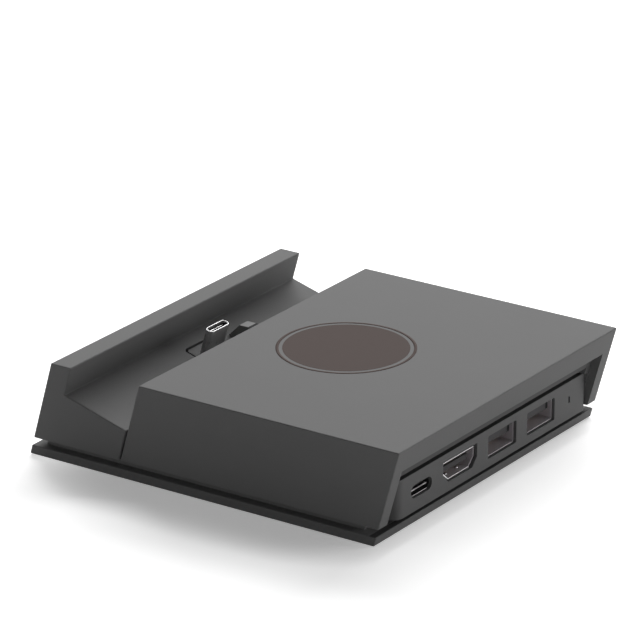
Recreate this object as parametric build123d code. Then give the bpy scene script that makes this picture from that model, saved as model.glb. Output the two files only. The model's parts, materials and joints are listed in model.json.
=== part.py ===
from build123d import *
from dataclasses import dataclass
from math import cos, radians, sin, tan
from typing import Callable
import os

# Handheld console dock, in millimetres. X runs along the slot, Y from the lip to the sockets, Z up.
# The origin is under the middle of the whole form, on the surface that the foot pads stand on.

# Whole form
width = 100.0            # end to end, along the slot
depth = 103.2            # front face to rear face, at any one height
lean_deg = 15.6          # how far the front, rear and backrest lean back
body_high = 21.2         # cover and cradle, from the shadow gap up
groove_high = 2.1        # shadow gap between base plate and body
plate_thick = 2.45
wall = 2.5               # cover and cradle walls
edge_round = 0.3         # outer edges of the mouldings
fit = 0.2                # clearance between mouldings that nest
overrun = 1.0            # how far a cutter reaches past the face it opens

# Slot, measured square to the lean
lip_wall = 5.9           # thickness of the front lip
slot_gap = 20.0          # lip to backrest
floor_drop = 7.6         # lip top down to the front of the slot floor
seam = 0.45              # gap between cradle and cover

# Guide rib beside the plug
guide_wide = 3.5
guide_long = 5.0         # flat top, front to rear
guide_rise = 4.1         # flat top above the slot floor
guide_set = 0.55         # flat top behind the slot's middle
guide_x = -12.65
guide_root = 0.8         # how far it is rooted in the floor

# Plug and its carrier, measured square to the lean
plug_wide = 8.25
plug_thick = 2.4
plug_metal = 0.25
plug_back = 10.65        # backrest to plug middle
plug_rise = 7.65         # plug tip above the slot floor
plug_root = 3.5          # plug foot below the slot floor
plug_tip_round = 0.15
insert_set = 0.6         # plug tip to the insert inside it
insert_slot_wide = 6.9
insert_slot_thick = 0.95
insert_slot_deep = 5.5
carrier_long = 10.7
carrier_wide = 7.9
carrier_corner = 0.8
carrier_drop = 0.1       # carrier top below the slot floor
carrier_gap = 0.7        # play round the carrier
flange_over = 4.6        # flange past the carrier at each end
flange_side = 1.2        # flange past the carrier at front and rear
flange_thick = 1.8
tail_deep = 4.6          # carrier below its flange
tail_gap = 0.35          # tail to the screw heads beside it
tail_wide = 7.0
card_margin = 1.2        # tail end to card
card_thick = 0.8
card_deep = 5.0
carrier_screw_thick = 1.4
carrier_head_wide = 2.6
carrier_head_high = 0.8
carrier_skin = 0.6       # slot floor left over a carrier screw's hole

# Base plate
rim_thick = 1.5
rim_lap = 1.5            # rim reaching up inside cover and cradle
rail_wide = 3.0          # rails that the core stands on
rail_inset = 15.0        # core side to rail
rail_end = 8.0           # core face to the end of a rail
stop_wide = 12.0         # upstands that stop the core sliding forward
stop_thick = 1.5
stop_high = 5.0
foot_wide = 10.0
foot_thick = 1.0
foot_proud = 0.2         # pad below the plate
foot_inset = 9.0         # plate edge to pad middle
foot_edge = 0.15         # cut edge of a pad

# Base screws and the bosses they bite into
base_screw_thick = 2.2
base_screw_long = 8.0
base_head_wide = 4.4
base_head_high = 1.4
base_head_sunk = 1.6     # head underside above the plate's lower face
boss_wide = 6.0
boss_margin = 2.0        # boss to the wall beside it
cover_screw_inset = 12.0
cradle_screw_inset = 20.0
pilot_gap = 0.1          # hole round a screw's thread
cross_wide = 0.6         # driver recess
cross_share = 0.6        # recess length as a share of the head
head_edge = 0.3          # cut edge of a screw head

# Core with the sockets
core_deep = 40.0
core_high = 10.2
core_cut_face = 4.9      # corner cut away beside the power socket, along the face
core_cut_side = 13.5     # and along the side
core_corner = 2.8        # rounding of the cut
core_wall = 1.3
core_gap = 0.5           # core to rim, each side
core_under_gap = 0.95
door_gap = 0.25          # doorway round the core
vent_high = 2.15         # air slot over the core
vent_inset = 1.5         # core side to the end of the air slot
core_side_gap = 0.8      # core to recess side
core_round = 0.25
recess_deep = 2.3        # rear face to recess wall, along Y
recess_slit = 0.35       # slit at each end of the recess wall, above the core
band_high = 6.35         # rear band over the recess
rib_thick = 1.6          # ribs under the cover that hold the core down
rib_inset = 23.0         # core side to rib
rib_front = 4.0
rib_rear = 12.0
lid_thick = 0.9
board_thick = 1.2
board_rise = 4.3         # board underside above the core's lower face
board_gap = 0.4          # board to core wall
core_boss_wide = 5.0
core_boss_inset = 6.0
core_boss_rear = 14.0    # core face to the rear bosses
core_screw_thick = 1.8
core_screw_long = 6.5
core_head_wide = 3.4
core_head_high = 0.9
core_head_sunk = 1.1

# Sockets: shells of thin metal behind holes in the core's face
port_margin_near = 10.5  # core side to the power socket's hole
port_margin_far = 14.25  # other core side to the last data socket's hole
port_gap = 0.15          # shell to hole edge
port_metal = 0.3
port_set = 0.8           # core face to a shell's front
port_rise = 5.2          # socket middles above the core's lower face
ear_wide = 0.7           # shell ears that stand on the board
ear_long = 4.0
notch_gap = 0.2          # shell to board notch
base_deep = 2.6          # moulded block at the back of a socket
pin_thick = 0.12
power_wide = 8.94
power_high = 3.16
power_long = 7.4
power_tongue_wide = 6.7
power_tongue_thick = 0.7
power_pin_wide = 0.26
power_pin_pitch = 0.5
power_pins = 12
video_wide = 14.4
video_high = 4.95
video_foot = 9.8         # width at the bottom, between the cut corners
video_side = 2.7         # upright part of the sides
video_long = 11.5
video_drop = 0.1         # middle of the video shell below the other sockets' middles
video_over_gap = 0.7     # video shell to hole edge, above it
video_side_gap = 0.5     # video shell to hole edge, at each side
video_tongue_wide = 11.6
video_tongue_thick = 1.3
video_pin_wide = 0.45
video_pin_pitch = 1.0
video_pins = 10
usb_wide = 12.8
usb_high = 5.75
usb_corner = 0.4
usb_corner_least = 0.1   # inside the shell
usb_long = 13.6
usb_tongue_wide = 10.0
usb_tongue_thick = 1.8
usb_tongue_over = 0.85   # shell roof to tongue
usb_pin_wide = 1.0
usb_pin_pitch = 2.4
usb_pins = 4
tongue_set = 1.0         # shell front to tongue front
pin_set = 0.9            # tongue front to contact fronts

# Status light
light_margin = 7.2       # core side to the slit
light_wide = 0.8
light_high = 1.7
light_set = 0.6          # core face to the light pipe's end
light_fit = 0.05
light_flange = 0.5
light_chip_wide = 1.6
light_chip_deep = 1.2
light_chip_high = 0.8

# Parts on the board
chip_high = 0.9
video_chip_wide = 9.0
hub_chip_wide = 7.0
power_chip_wide = 5.0
coil_wide = 5.2
coil_high = 2.8
coil_pitch = 7.0
coil_cut = 0.9
can_wide = 4.0
can_high = 3.2
can_pitch = 5.5
crystal_long = 3.2
crystal_wide = 2.5
crystal_high = 0.8
part_pitch = 14.0        # middle to middle along the board
power_inset = 8.6        # board end to the power chip's middle
can_inset = 15.6         # other board end to the capacitors' middle

# Lead from plug to board
lead_thick = 3.0
lead_gap = 0.3           # lead to the holes it passes
lead_solder = 0.1        # card face to the lead's end
lead_socket_wide = 8.0
lead_socket_deep = 5.0
lead_socket_set = 4.0    # board edge to lead socket
lead_level = 2.0         # level run starts this far behind the cover's front wall
lead_share = 0.45        # share of the shorter run that the bend takes

# Heights
plate_z = foot_proud
plate_top = plate_z + plate_thick
body_z = plate_top + groove_high
top_z = body_z + body_high
rim_top = body_z + rim_lap
core_z = plate_top + core_under_gap
core_top = core_z + core_high
board_z = core_z + board_rise
board_top = board_z + board_thick
port_z = core_z + port_rise
lead_z = board_z - lead_thick / 2

# Leaning lines: offsets run along Y from the front face
lean_cos = cos(radians(lean_deg))
lean_sin = sin(radians(lean_deg))
lean_tan = tan(radians(lean_deg))
front_y = -(depth + lean_tan * (top_z - plate_z)) / 2
wall_y = wall / lean_cos
backrest = (lip_wall + slot_gap) / lean_cos
cradle_rear = backrest - seam / lean_cos
rear_inside = depth - recess_deep - wall_y
fit_y = fit / lean_cos


def lean_at(offset, height):
    """The (y, z) point at a height on the leaning line that far behind the front face."""
    return front_y + offset + lean_tan * (height - plate_z), height


# Slot frame: its origin is on the middle of the slot floor, its Z is the way the plug points
floor_z = top_z - floor_drop - slot_gap / 2 * lean_sin
floor_y = lean_at((lip_wall + slot_gap / 2) / lean_cos, floor_z)[0]
slot = Plane(origin=(0, floor_y, floor_z), x_dir=(1, 0, 0), z_dir=(0, lean_sin, lean_cos))
plug_mid = slot_gap / 2 - plug_back


def slot_at(across, along):
    """The (y, z) point of the slot frame: across towards the backrest, along the plug."""
    y = floor_y + across * lean_cos + along * lean_sin
    z = floor_z - across * lean_sin + along * lean_cos
    return y, z


# Core and socket places
core_wide = width - 2 * (wall + fit + rim_thick + core_gap)
core_face = lean_at(depth, plate_top)[0]
core_front = core_face - core_deep
core_mid = core_face - core_deep / 2
panel_y = core_face - core_wall
port_front = port_set - core_wall
recess_half = core_wide / 2 + core_side_gap
recess_top = top_z - band_high
panel = Plane(origin=(0, panel_y, 0), x_dir=(1, 0, 0), z_dir=(0, -1, 0))
board_rear = panel_y - board_gap
board_front = core_front + core_wall + board_gap
part_row = (board_front + board_rear - usb_long) / 2
board_half = core_wide / 2 - core_wall - board_gap
power_x = board_half - power_inset
light_x = light_margin - core_wide / 2
core_screw_x = core_wide / 2 - core_boss_inset
core_screw_spots = [
    (side * core_screw_x, y)
    for side in (-1, 1)
    for y in (core_front + core_boss_inset, core_face - core_boss_rear)
]

# Base screw and foot places
cover_front_row = lean_at(backrest + wall_y, top_z - wall)[0] + boss_margin + boss_wide / 2
cover_rear_row = core_front - boss_margin - boss_wide / 2
cover_screw_spots = [
    (side * (width / 2 - cover_screw_inset), y)
    for side in (-1, 1)
    for y in (cover_front_row, cover_rear_row)
]
cradle_screw_spots = [(side * (width / 2 - cradle_screw_inset), floor_y) for side in (-1, 1)]
base_pilot = base_screw_thick + 2 * pilot_gap
cradle_screw_long = base_screw_long - wall
foot_spots = [
    (side * (width / 2 - foot_inset), lean_at(offset, plate_z)[0])
    for side in (-1, 1)
    for offset in (foot_inset, depth - foot_inset)
]

# Plug carrier places in the slot frame
tail_long = carrier_long + flange_over - carrier_head_wide - 2 * tail_gap
card_wide = tail_long - 2 * card_margin
carrier_screw_x = (carrier_long + flange_over) / 2
carrier_screw_spots = [(side * carrier_screw_x, plug_mid) for side in (-1, 1)]

# Lead route: from the plug card, down through the two walls, level into the core
lead_start = slot_at(plug_mid + card_thick / 2 + lead_solder, -(plug_root + card_deep / 2))
lead_turn = lean_at(backrest + wall_y, lead_z)[0] + lead_level
lead_end = board_front + lead_socket_set
lead_points = [(0, *lead_start), (0, lead_turn, lead_z), (0, lead_end, lead_z)]


def prism(points, span):
    """A side profile of (y, z) corners, drawn out evenly to both sides of the middle."""
    return extrude(Plane.YZ * make_face(Polyline(*points, close=True)), span / 2, both=True)


def brick(x, y, z):
    """A block between two ends along each axis."""
    ends = (x, y, z)
    size = [abs(b - a) for a, b in ends]
    middle = [(a + b) / 2 for a, b in ends]
    return Pos(*middle) * Box(*size)


def peg(spot, low, high, wide):
    """An upright round bar at an (x, y) spot between two heights."""
    return extrude(Pos(*spot, low) * Circle(wide / 2), high - low)


def slot_block(wide, thick, low, high, corner=0):
    """A block round the plug's axis, between two heights over the slot floor."""
    shape = RectangleRounded(wide, thick, corner) if corner else Rectangle(wide, thick)
    return extrude(slot * Pos(0, plug_mid, low) * shape, high - low)


def plug_oval(wide, thick, low, high):
    """A bar with the plug's round-ended section, between two heights over the slot floor."""
    return extrude(slot * Pos(0, plug_mid, low) * SlotOverall(wide, thick), high - low)


def lead_tube(wide):
    """A tube along the lead's route: two straight runs and one wide bend."""
    first, turn, last = (Vector(*point) for point in lead_points)
    half_turn = radians((turn - first).get_angle(last - turn)) / 2
    shorter = min((turn - first).length, (last - turn).length)
    path = FilletPolyline(first, turn, last, radius=lead_share * shorter / tan(half_turn))
    return sweep(Plane(path @ 0, z_dir=path % 0) * Circle(wide / 2), path=path)


def lead_notch(front, rear):
    """The notch that lets the lead through a wall, open at the wall's lower edge."""
    half = lead_thick / 2 + lead_gap
    (_, y0, z0), (_, y1, z1), _ = lead_points
    fall = (z1 - z0) / (y1 - y0)
    level = max(z0 + fall * (front - y0), z0 + fall * (rear - y0), z1)
    return brick((-half, half), (front, rear), (body_z - overrun, level + half))


def screw(spot, seat, head, head_high, thread, long):
    """A pan-head screw that points up from its seat, with a cross recess in its head."""
    head_disc = peg(spot, seat - head_high, seat, head)
    head_disc = chamfer(head_disc.edges().group_by(Axis.Z)[0], head_edge)
    reach = head * cross_share
    cross = Box(reach, cross_wide, head_high) + Box(cross_wide, reach, head_high)
    return head_disc + peg(spot, seat, seat + long, thread) - Pos(*spot, seat - head_high) * cross


@dataclass
class Port:
    """One socket: its place, its shell's outline, its length and what stands inside it."""

    x: float
    z: float
    outline: Callable
    hole: Callable
    long: float
    wide: float
    tongue_wide: float
    tongue_thick: float
    tongue_level: float
    rows: tuple
    pins: int
    pin_wide: float
    pin_pitch: float


def power_outline(grow):
    """The oval power socket, grown or shrunk evenly."""
    return SlotOverall(power_wide + 2 * grow, power_high + 2 * grow)


def power_hole():
    """The hole in the core's face for the power socket."""
    return power_outline(port_gap)


def video_shape(over, aside, under):
    """The video socket's form, whose lower corners are cut away, grown above, aside and below."""
    top = video_high / 2
    side = video_wide / 2 + aside
    half = [(side, top + over), (side, top - video_side), (video_foot / 2 + aside, -top - under)]
    mirrored = [(-x, z) for x, z in reversed(half)]
    return make_face(Polyline(*half, *mirrored, close=True))


def video_outline(grow):
    """The video socket, grown or shrunk evenly."""
    shape = video_shape(0, 0, 0)
    return offset(shape, grow, kind=Kind.INTERSECTION) if grow else shape


def video_hole():
    """The hole in the core's face for the video socket, roomier above it and at its sides."""
    return video_shape(video_over_gap, video_side_gap, port_gap)


def usb_outline(grow):
    """The flat data socket, grown or shrunk evenly."""
    corner = max(usb_corner + grow, usb_corner_least)
    return RectangleRounded(usb_wide + 2 * grow, usb_high + 2 * grow, corner)


def usb_hole():
    """The hole in the core's face for a flat data socket."""
    return usb_outline(port_gap)


def make_ports():
    """The four sockets, spaced evenly between the two margins of the core's face."""
    usb_span = usb_wide + 2 * port_gap
    holes = [power_wide + 2 * port_gap, video_wide + 2 * video_side_gap, usb_span, usb_span]
    spacing = (core_wide - port_margin_near - port_margin_far - sum(holes)) / (len(holes) - 1)
    middles = []
    edge = core_wide / 2 - port_margin_near
    for span in holes:
        middles.append(edge - span / 2)
        edge -= span + spacing
    usb_level = usb_high / 2 - port_metal - usb_tongue_over - usb_tongue_thick / 2
    power_fill = (power_tongue_wide, power_tongue_thick, 0, (-1, 1))
    video_fill = (video_tongue_wide, video_tongue_thick, 0, (-1, 1))
    usb_fill = (usb_tongue_wide, usb_tongue_thick, usb_level, (-1,))
    power_row = (power_pins, power_pin_wide, power_pin_pitch)
    video_row = (video_pins, video_pin_wide, video_pin_pitch)
    usb_row = (usb_pins, usb_pin_wide, usb_pin_pitch)
    power = (port_z, power_outline, power_hole, power_long, power_wide, *power_fill, *power_row)
    video_z = port_z - video_drop
    video = (video_z, video_outline, video_hole, video_long, video_wide, *video_fill, *video_row)
    usb = (port_z, usb_outline, usb_hole, usb_long, usb_wide, *usb_fill, *usb_row)
    return {
        "power_port": Port(middles[0], *power),
        "video_port": Port(middles[1], *video),
        "usb_port_near": Port(middles[2], *usb),
        "usb_port_far": Port(middles[3], *usb),
    }


ports = make_ports()


def in_port(port, shape, start, end, level=0.0):
    """A flat shape drawn out along a socket, between two depths behind the core's face wall."""
    return extrude(panel * Pos(port.x, port.z + level, start) * shape, end - start)


def port_shell(port):
    """The socket's metal shell, closed at the back, with ears that stand on the board."""
    body = in_port(port, port.outline(0), port_front, port.long)
    half = port.wide / 2 + ear_wide
    ear_y = panel_y - port.long / 2
    ears = brick(
        (port.x - half, port.x + half),
        (ear_y - ear_long / 2, ear_y + ear_long / 2),
        (board_top, board_top + port_metal),
    )
    hollow = in_port(port, port.outline(-port_metal), port_front - overrun, port.long - port_metal)
    return body + ears - hollow


def port_tongue(port):
    """The moulded block at the back of a socket and the tongue that reaches forward from it."""
    back = port.long - port_metal
    block = in_port(port, port.outline(-port_metal), back - base_deep, back)
    tongue = Rectangle(port.tongue_wide, port.tongue_thick)
    return block + in_port(port, tongue, port_front + tongue_set, back - base_deep, port.tongue_level)


def port_contacts(port):
    """The contact strips on the faces of a socket's tongue."""
    strips = []
    for side in port.rows:
        level = port.tongue_level + side * (port.tongue_thick + pin_thick) / 2
        for place in range(port.pins):
            shift = (place - (port.pins - 1) / 2) * port.pin_pitch
            strip = Pos(shift, 0) * Rectangle(port.pin_wide, pin_thick)
            front = port_front + tongue_set + pin_set
            strips.append(in_port(port, strip, front, port.long - port_metal - base_deep, level))
    return Compound(strips)


def rear_opening(high, span):
    """A cutter through the recess wall, from the cover's lower edge up to a height."""
    corners = [(rear_inside - overrun, body_z - overrun), (depth, body_z - overrun)]
    corners += [(depth, high), (rear_inside - overrun, high)]
    return prism([lean_at(*corner) for corner in corners], span)


def top_cover():
    """The block behind the slot: a moulded shell, open below, with the recess for the sockets."""
    corners = [(backrest, body_z), (depth, body_z), (depth, top_z), (backrest, top_z)]
    block = prism([lean_at(*corner) for corner in corners], width)
    block = fillet(block.edges(), edge_round)
    ceiling = top_z - wall
    inside = [(backrest + wall_y, body_z - overrun), (rear_inside, body_z - overrun)]
    inside += [(rear_inside, ceiling), (backrest + wall_y, ceiling)]
    block -= prism([lean_at(*corner) for corner in inside], width - 2 * wall)
    recess = [(depth - recess_deep, body_z - overrun), (depth + overrun, body_z - overrun)]
    recess += [(depth + overrun, recess_top), (depth - recess_deep, recess_top)]
    block -= prism([lean_at(*corner) for corner in recess], 2 * recess_half)
    door_top = core_top + door_gap
    block -= rear_opening(door_top, core_wide + 2 * door_gap)
    block -= rear_opening(core_top + vent_high, core_wide - 2 * vent_inset)
    slits = rear_opening(recess_top, 2 * recess_half) - rear_opening(door_top, 2 * recess_half)
    block -= slits - rear_opening(recess_top, 2 * (recess_half - recess_slit))
    for spot in cover_screw_spots:
        block += peg(spot, body_z, ceiling, boss_wide)
        block -= peg(spot, body_z - overrun, body_z + base_screw_long, base_pilot)
    rib_x = core_wide / 2 - rib_inset
    for side in (-1, 1):
        rib = (side * rib_x - rib_thick / 2, side * rib_x + rib_thick / 2)
        block += brick(rib, (core_front + rib_front, core_face - rib_rear), (core_top + fit, ceiling))
    front = lean_at(backrest, body_z)[0]
    rear = lean_at(backrest + wall_y, lead_z + lead_thick)[0]
    return block - lead_notch(front - overrun, rear + overrun)


def guide_rib():
    """The rib beside the plug: a level top and a front that slopes down to the floor."""
    top = floor_z + guide_rise
    run = (guide_rise + guide_root + lean_tan * guide_set) / (1 + lean_tan)
    front = floor_y + guide_set
    rear = front + guide_long
    rear_floor = floor_z - lean_tan * (guide_set + guide_long) - guide_root
    corners = [(front, top), (rear, top), (rear, rear_floor), (front - run, top - run)]
    return Pos(guide_x, 0, 0) * prism(corners, guide_wide)


def front_cradle():
    """The lip and the slot floor: a moulded shell, open below, with the recess for the plug."""
    half = slot_gap / 2
    outline = [lean_at(0, body_z), lean_at(0, top_z), lean_at(lip_wall / lean_cos, top_z)]
    outline += [slot_at(-half, 0), slot_at(half - seam, 0), lean_at(cradle_rear, body_z)]
    cradle = fillet(prism(outline, width).edges(), edge_round)
    hollow = [lean_at(wall_y, body_z - overrun), slot_at(wall - lip_wall - half, -wall)]
    hollow += [slot_at(half - seam - wall, -wall), lean_at(cradle_rear - wall_y, body_z - overrun)]
    cradle -= prism(hollow, width - 2 * wall)
    for spot in cradle_screw_spots:
        cradle += peg(spot, body_z, floor_z - wall / 2, boss_wide)
        cradle -= peg(spot, body_z - overrun, body_z + cradle_screw_long, base_pilot)
    opening = (carrier_long + 2 * carrier_gap, carrier_wide + 2 * carrier_gap)
    cradle -= slot_block(*opening, -wall - overrun, overrun, carrier_corner + carrier_gap)
    cradle += guide_rib()
    front = lean_at(cradle_rear - wall_y, body_z)[0]
    rear = lean_at(cradle_rear, lead_z + 2 * lead_thick)[0]
    cradle -= lead_notch(front - overrun, rear + overrun)
    for spot in carrier_screw_spots:
        hole = carrier_screw_thick + 2 * pilot_gap
        cradle -= slot * peg(spot, -wall - overrun, -carrier_skin, hole)
    return cradle


def base_plate():
    """The slab with its leaning edges, the inset rim, screw posts, foot seats and core rails."""
    corners = [(0, plate_z), (depth, plate_z), (depth, plate_top), (0, plate_top)]
    plate = fillet(prism([lean_at(*corner) for corner in corners], width).edges(), edge_round)
    rim_half = width / 2 - wall - fit
    rim_front = wall_y + fit_y
    rim_rear = rear_inside - fit_y
    outer = [(rim_front, plate_top), (rim_rear, plate_top), (rim_rear, rim_top), (rim_front, rim_top)]
    inner_front = rim_front + rim_thick / lean_cos
    inner = [(inner_front, plate_z), (depth, plate_z)]
    inner += [(depth, rim_top + overrun), (inner_front, rim_top + overrun)]
    rim = prism([lean_at(*corner) for corner in outer], 2 * rim_half)
    plate += rim - prism([lean_at(*corner) for corner in inner], 2 * (rim_half - rim_thick))
    wall_front = lean_at(cradle_rear - wall_y, body_z)[0] - fit
    wall_rear = lean_at(backrest + wall_y, rim_top)[0] + fit
    plate -= brick((-width, width), (wall_front, wall_rear), (body_z, rim_top + overrun))
    for side in (-1, 1):
        rail_x = side * (core_wide / 2 - rail_inset)
        rail = (rail_x - rail_wide / 2, rail_x + rail_wide / 2)
        plate += brick(rail, (core_front, core_face - rail_end), (plate_top, core_z))
        stop = (rail_x - stop_wide / 2, rail_x + stop_wide / 2)
        stop_y = core_front - fit
        plate += brick(stop, (stop_y - stop_thick, stop_y), (plate_top, plate_top + stop_high))
    for spot in cover_screw_spots + cradle_screw_spots:
        plate += peg(spot, plate_top, body_z, boss_wide)
        plate -= peg(spot, 0, body_z + overrun, base_screw_thick + 2 * fit)
        plate -= peg(spot, 0, plate_z + base_head_sunk, base_head_wide + 2 * fit)
    for spot in foot_spots:
        plate -= peg(spot, 0, foot_thick, foot_wide + fit)
    return plate


def foot_pads():
    """Four soft round pads, sunk into the plate."""
    pads = []
    for spot in foot_spots:
        pad = peg(spot, 0, foot_thick, foot_wide)
        pads.append(chamfer(pad.edges().group_by(Axis.Z)[0], foot_edge))
    return Compound(pads)


def base_screws():
    """The screws from below that hold the cover and the cradle to the plate."""
    seat = plate_z + base_head_sunk
    head = (base_head_wide, base_head_high, base_screw_thick)
    long = [(spot, base_screw_long) for spot in cover_screw_spots]
    short = [(spot, cradle_screw_long) for spot in cradle_screw_spots]
    return Compound([screw(spot, seat, *head, reach) for spot, reach in long + short])


def core_outline(inset):
    """The core's plan with its one cut corner, drawn in from its outside."""
    side = core_wide / 2
    face = core_deep / 2
    corners = [(-side, -face), (side, -face), (side, face - core_cut_side)]
    corners += [(side - core_cut_face, face), (-side, face)]
    plan = make_face(Polyline(*corners, close=True))
    plan = fillet(plan.vertices().sort_by(lambda spot: spot.X + spot.Y)[-2:], core_corner)
    return offset(plan, -inset, kind=Kind.INTERSECTION) if inset else plan


def core_slab(inset, low, high):
    """A slab with the core's plan between two heights."""
    return extrude(Pos(0, core_mid, low) * core_outline(inset), high - low)


def core_housing():
    """The box of the core, open below, with the socket holes and the light slit in its face."""
    box = core_slab(0, core_z, core_top)
    sharp = box.edges().filter_by(Axis.Z).group_by(Axis.X)[0]
    box = fillet(box.edges().group_by(Axis.Z)[-1] + sharp, core_round)
    box -= core_slab(core_wall, core_z - overrun, core_top - core_wall)
    for spot in core_screw_spots:
        box += peg(spot, board_top, core_top - core_wall, core_boss_wide)
        hole_top = core_z + core_head_sunk + core_screw_long + pilot_gap
        box -= peg(spot, board_z, hole_top, core_screw_thick + 2 * pilot_gap)
    for port in ports.values():
        box -= in_port(port, port.hole(), -core_wall - overrun, overrun)
    slit = panel * Pos(light_x, port_z, -core_wall - overrun) * Rectangle(light_wide, light_high)
    box -= extrude(slit, core_wall + overrun)
    return box - lead_tube(lead_thick + 2 * lead_gap)


def core_lid():
    """The plate that closes the core from below, with posts that clamp the board."""
    lid = core_slab(core_wall + fit, core_z, core_z + lid_thick)
    for spot in core_screw_spots:
        lid += peg(spot, core_z + lid_thick, board_z, core_boss_wide)
        lid -= peg(spot, core_z - overrun, board_top, core_screw_thick + 2 * fit)
        lid -= peg(spot, core_z - overrun, core_z + core_head_sunk, core_head_wide + 2 * fit)
    return lid


def core_screws():
    """The screws from below that clamp lid, board and core housing together."""
    seat = core_z + core_head_sunk
    head = (core_head_wide, core_head_high, core_screw_thick)
    return Compound([screw(spot, seat, *head, core_screw_long) for spot in core_screw_spots])


def main_board():
    """The circuit board, notched at its rear edge for the sockets."""
    board = core_slab(core_wall + board_gap, board_z, board_top)
    for port in ports.values():
        half = port.wide / 2 + notch_gap
        notch = (panel_y - port.long - notch_gap, panel_y + overrun)
        board -= brick((port.x - half, port.x + half), notch, (board_z - overrun, board_top + overrun))
    for spot in core_screw_spots:
        board -= peg(spot, board_z - overrun, board_top + overrun, core_screw_thick + 2 * fit)
    return board


def status_light_pipe():
    """The clear bar in the slit, with the flange that stops it behind the face."""
    bar = Rectangle(light_wide - 2 * light_fit, light_high - 2 * light_fit)
    flange = Rectangle(light_wide + 2 * light_flange, light_high + 2 * light_flange)
    front = light_set - core_wall
    pipe = extrude(panel * Pos(light_x, port_z, front) * bar, light_fit - front)
    return pipe + extrude(panel * Pos(light_x, port_z, light_fit) * flange, board_gap - light_fit)


def on_board(x, y, wide, deep, high):
    """A flat part that stands on the board."""
    return brick((x - wide / 2, x + wide / 2), (y - deep / 2, y + deep / 2), (board_top, board_top + high))


def power_coils():
    """Two square coils, their corners cut."""
    coils = []
    for row in (-1, 1):
        y = part_row + row * coil_pitch / 2
        coil = on_board(power_x - coil_pitch, y, coil_wide, coil_wide, coil_high)
        coils.append(chamfer(coil.edges().filter_by(Axis.Z), coil_cut))
    return Compound(coils)


def can_capacitors():
    """Three round capacitors in a row."""
    spots = [(can_inset - board_half, part_row + row * can_pitch) for row in (-1, 0, 1)]
    return Compound([peg(spot, board_top, board_top + can_high, can_wide) for spot in spots])


def lead_socket():
    """The header under the board that the lead ends in."""
    half = lead_socket_wide / 2
    return brick((-half, half), (lead_end, lead_end + lead_socket_deep), (board_z - lead_thick, board_z))


def plug_carrier():
    """The block in the floor recess: neck, flange under the floor, and a tail for card and lead."""
    flange_z = -wall - flange_thick
    carrier = slot_block(carrier_long, carrier_wide, -wall, -carrier_drop, carrier_corner)
    flange_plan = (carrier_long + 2 * flange_over, carrier_wide + 2 * flange_side)
    carrier += slot_block(*flange_plan, flange_z, -wall, carrier_corner)
    carrier += slot_block(tail_long, tail_wide, flange_z - tail_deep, flange_z, carrier_corner)
    carrier -= plug_oval(plug_wide, plug_thick, -plug_root, overrun)
    carrier -= slot_block(card_wide, card_thick, flange_z - tail_deep - overrun, -plug_root)
    for spot in carrier_screw_spots:
        carrier -= slot * peg(spot, flange_z - overrun, overrun, carrier_screw_thick + 2 * pilot_gap)
    return carrier - lead_tube(lead_thick)


def carrier_screws():
    """The two screws that hold the plug carrier up against the slot floor."""
    seat = -wall - flange_thick
    head = (carrier_head_wide, carrier_head_high, carrier_screw_thick)
    reach = flange_thick + wall / 2
    return Compound([slot * screw(spot, seat, *head, reach) for spot in carrier_screw_spots])


def plug_shell():
    """The plug's drawn metal tube, its tip rounded."""
    tube = plug_oval(plug_wide, plug_thick, -plug_root, plug_rise)
    tip = tube.faces().sort_by(Axis(slot.origin, slot.z_dir))[-1]
    tube = fillet(tip.edges(), plug_tip_round)
    hole = (plug_wide - 2 * plug_metal, plug_thick - 2 * plug_metal)
    return tube - plug_oval(*hole, -plug_root - overrun, plug_rise + overrun)


def plug_insert():
    """The moulded insert in the plug, slotted for the tongue of the console's socket."""
    hole = (plug_wide - 2 * plug_metal, plug_thick - 2 * plug_metal)
    top = plug_rise - insert_set
    insert = plug_oval(*hole, -plug_root, top)
    return insert - slot_block(insert_slot_wide, insert_slot_thick, top - insert_slot_deep, top + overrun)


def plug_contacts():
    """The two rows of contact strips in the insert's slot."""
    top = plug_rise - insert_set
    strips = []
    for side in (-1, 1):
        level = plug_mid + side * (insert_slot_thick - pin_thick) / 2
        for place in range(power_pins):
            shift = (place - (power_pins - 1) / 2) * power_pin_pitch
            strip = slot * Pos(shift, level, top - insert_slot_deep) * Rectangle(power_pin_wide, pin_thick)
            strips.append(extrude(strip, insert_slot_deep - insert_set))
    return Compound(strips)


def plug_card():
    """The small board under the plug that the lead is soldered to."""
    return slot_block(card_wide, card_thick, -plug_root - card_deep, -plug_root)


pieces = {
    "top_cover": top_cover(),
    "front_cradle": front_cradle(),
    "base_plate": base_plate(),
    "foot_pads": foot_pads(),
    "base_screws": base_screws(),
    "core_housing": core_housing(),
    "core_lid": core_lid(),
    "core_screws": core_screws(),
    "main_board": main_board(),
    "status_light_pipe": status_light_pipe(),
    "status_light_chip": on_board(
        light_x, board_rear - light_chip_deep / 2, light_chip_wide, light_chip_deep, light_chip_high
    ),
    "video_chip": on_board(part_pitch, part_row, video_chip_wide, video_chip_wide, chip_high),
    "hub_chip": on_board(-part_pitch, part_row, hub_chip_wide, hub_chip_wide, chip_high),
    "power_chip": on_board(power_x, part_row, power_chip_wide, power_chip_wide, chip_high),
    "timing_crystal": on_board(0, part_row, crystal_long, crystal_wide, crystal_high),
    "power_coils": power_coils(),
    "can_capacitors": can_capacitors(),
    "lead_socket": lead_socket(),
    "plug_lead": lead_tube(lead_thick),
    "plug_carrier": plug_carrier(),
    "carrier_screws": carrier_screws(),
    "plug_shell": plug_shell(),
    "plug_insert": plug_insert(),
    "plug_contacts": plug_contacts(),
    "plug_card": plug_card(),
}
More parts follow.
